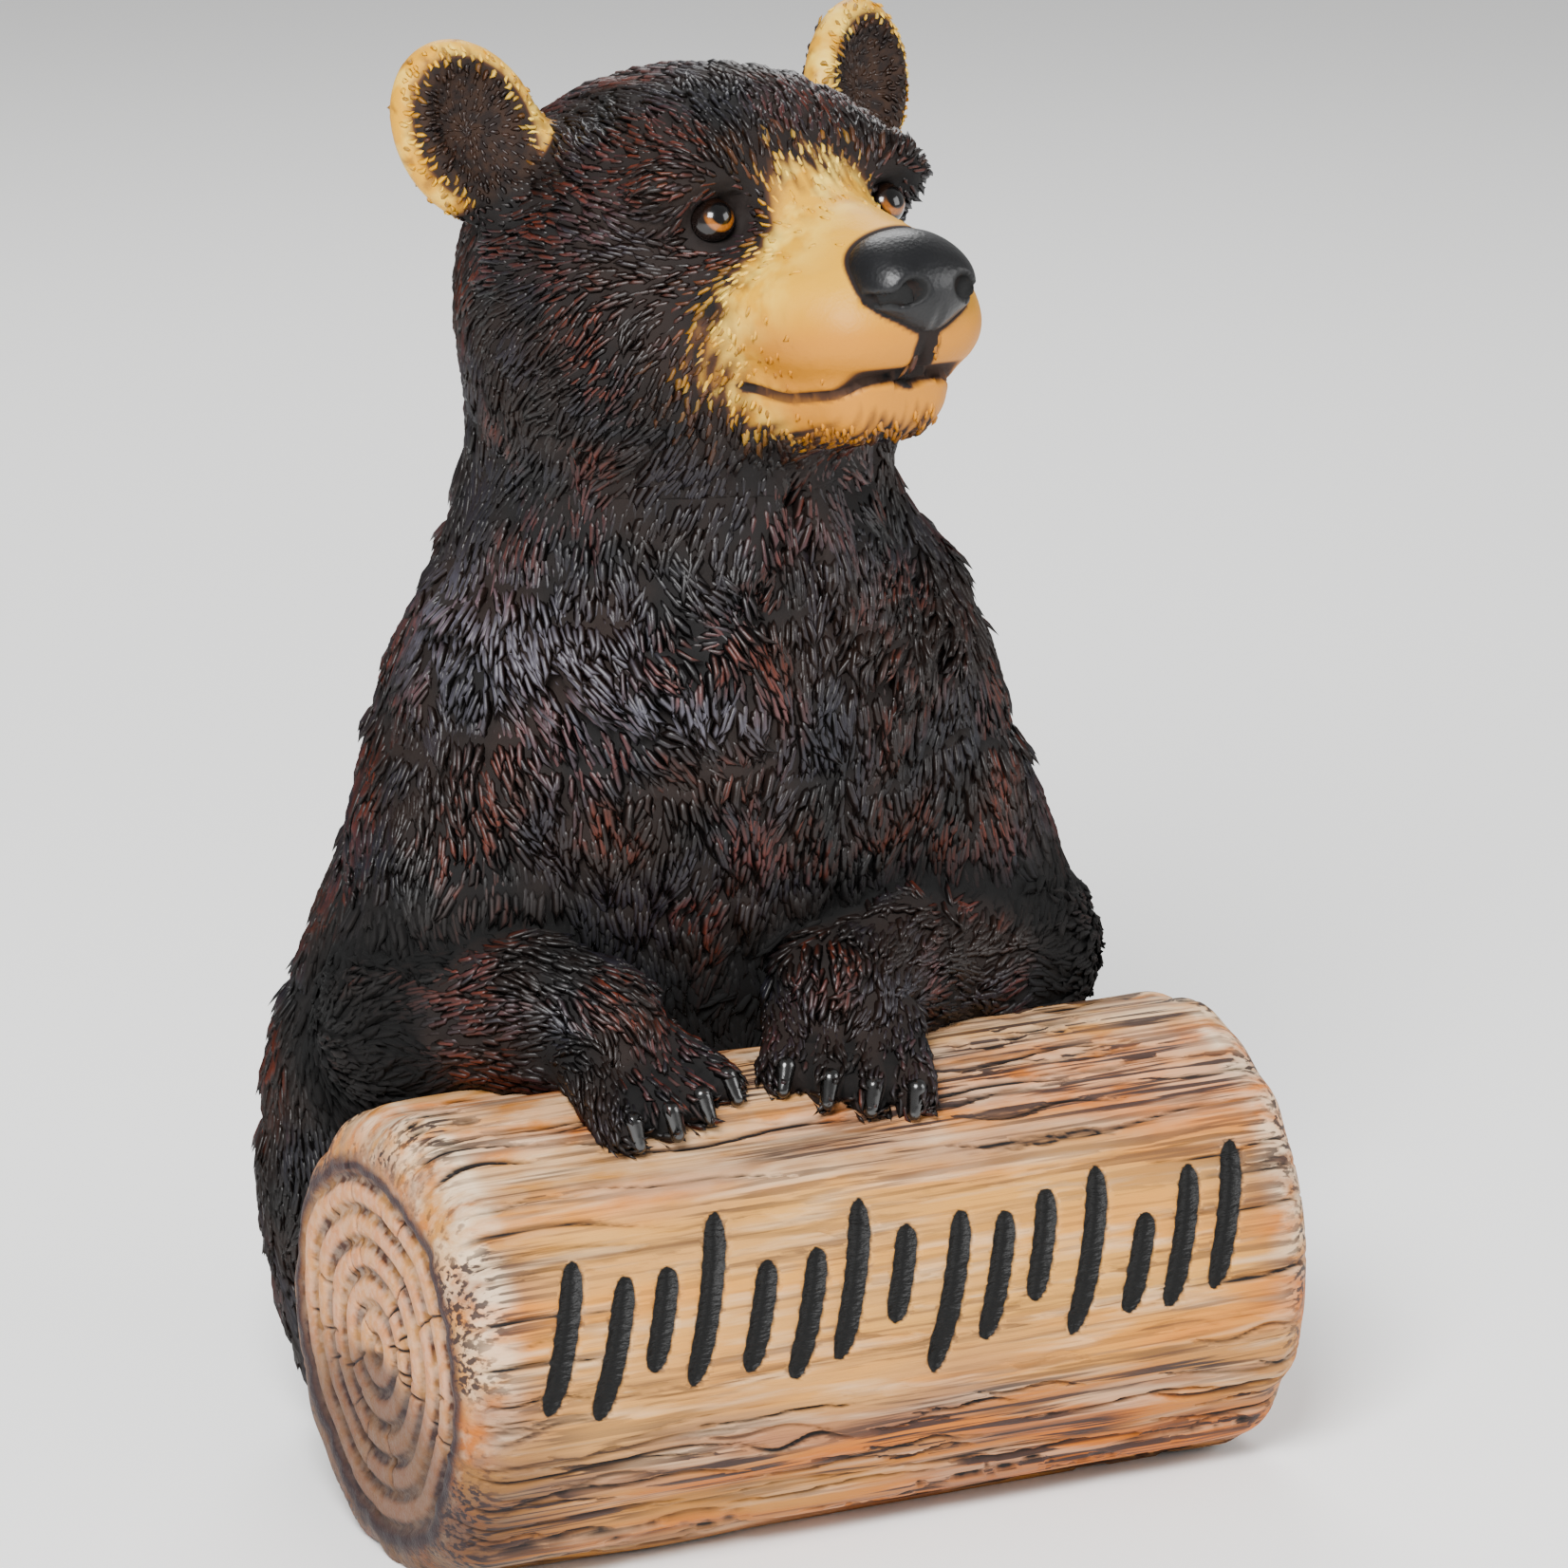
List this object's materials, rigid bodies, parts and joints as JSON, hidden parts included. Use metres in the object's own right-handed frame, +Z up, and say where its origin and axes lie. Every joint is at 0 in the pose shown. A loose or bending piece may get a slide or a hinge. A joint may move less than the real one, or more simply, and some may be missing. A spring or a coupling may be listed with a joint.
{
  "type": "bear garden statue",
  "caption": "Cast garden statue of a black bear to the waist, leaning its forearms on a short log carved with bark grain and growth rings, standing flat on its planed underside.",
  "frame": {"origin": "floor level, straight below the middle of the log's axis, on the log's planed underside", "axes": "+Z up; the bear faces -Y, over the log; +X along the log, towards the bear's left"},
  "size_m": [0.241, 0.1989, 0.3728],
  "materials": {
    "painted_resin": "near-black brown paint over carved fur, tips brushed red-brown and grey",
    "wood_paint": "pinkish tan paint over a moulded log, grain and strokes washed near black",
    "gloss_paint": "glossy black on eyes and claws, satin on the nose"
  },
  "bodies": {
    "root": {"bear_on_log": "painted_resin"}
  },
  "joints": []
}
